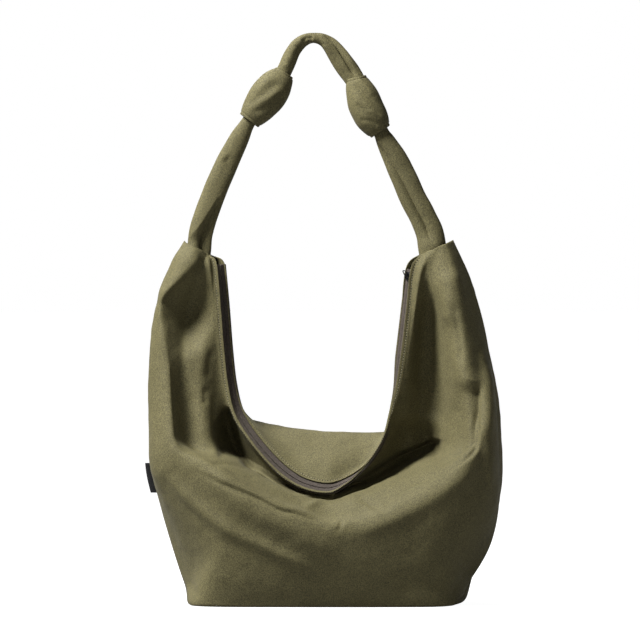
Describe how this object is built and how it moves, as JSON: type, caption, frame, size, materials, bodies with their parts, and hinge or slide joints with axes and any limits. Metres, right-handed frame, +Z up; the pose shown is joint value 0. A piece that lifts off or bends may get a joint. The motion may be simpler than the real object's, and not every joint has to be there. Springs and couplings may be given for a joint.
{
  "type": "hobo bag",
  "caption": "Slouchy cloth hobo bag with two horns, a knotted shoulder strap, a zip along its curved neckline and a boxed base.",
  "frame": {"origin": "centre of the flat underside of the base", "axes": "+X to the bag's left-hand side as worn, the side with the zip slider; +Y to the back panel; +Z up to the strap"},
  "size_m": [0.4318, 0.208, 0.6856],
  "materials": {
    "outer_cloth": "olive twill with a slight sheen",
    "lining_cloth": "plain weave",
    "board": "matte",
    "zip_tape": "ribbed tape",
    "zip_coil": "semi-matte",
    "zip_metal": "black",
    "label": "woven tape"
  },
  "bodies": {
    "bag": {"front_panel": "outer_cloth", "back_panel": "outer_cloth", "base_panel": "outer_cloth", "front_lining": "lining_cloth", "back_lining": "lining_cloth", "base_lining": "lining_cloth", "inner_pocket": "lining_cloth", "base_board": "board", "zip_tape_front": "zip_tape", "zip_tape_back": "zip_tape", "zip_coil_front": "zip_coil", "zip_coil_back": "zip_coil", "zip_stop_bottom": "zip_metal", "zip_stop_top": "zip_metal", "side_label": "label"},
    "zip_slider": {"zip_slider": "zip_metal"},
    "zip_pull": {"zip_pull": "zip_metal"},
    "strap": {"strap_leg_left": "outer_cloth", "strap_knot_left": "outer_cloth", "strap_crown": "outer_cloth", "strap_knot_right": "outer_cloth", "strap_leg_right": "outer_cloth"}
  },
  "joints": [
    {"name": "zip_slide", "type": "slide", "parent": "bag", "child": "zip_slider", "axis": [0.1188, 0.028, 0.9925], "range_m": [-0.088, 0]},
    {"name": "pull_hinge", "type": "hinge", "parent": "zip_slider", "child": "zip_pull", "pos_m": [0.09888, -0.00882, 0.39245], "axis": [0.4799, -0.8767, -0.0328], "range_deg": [-33, 142]},
    {"name": "strap_swing", "type": "hinge", "parent": "bag", "child": "strap", "pos_m": [0, 0, 0.447], "axis": [1, 0, 0], "range_deg": [-90, 90]}
  ]
}
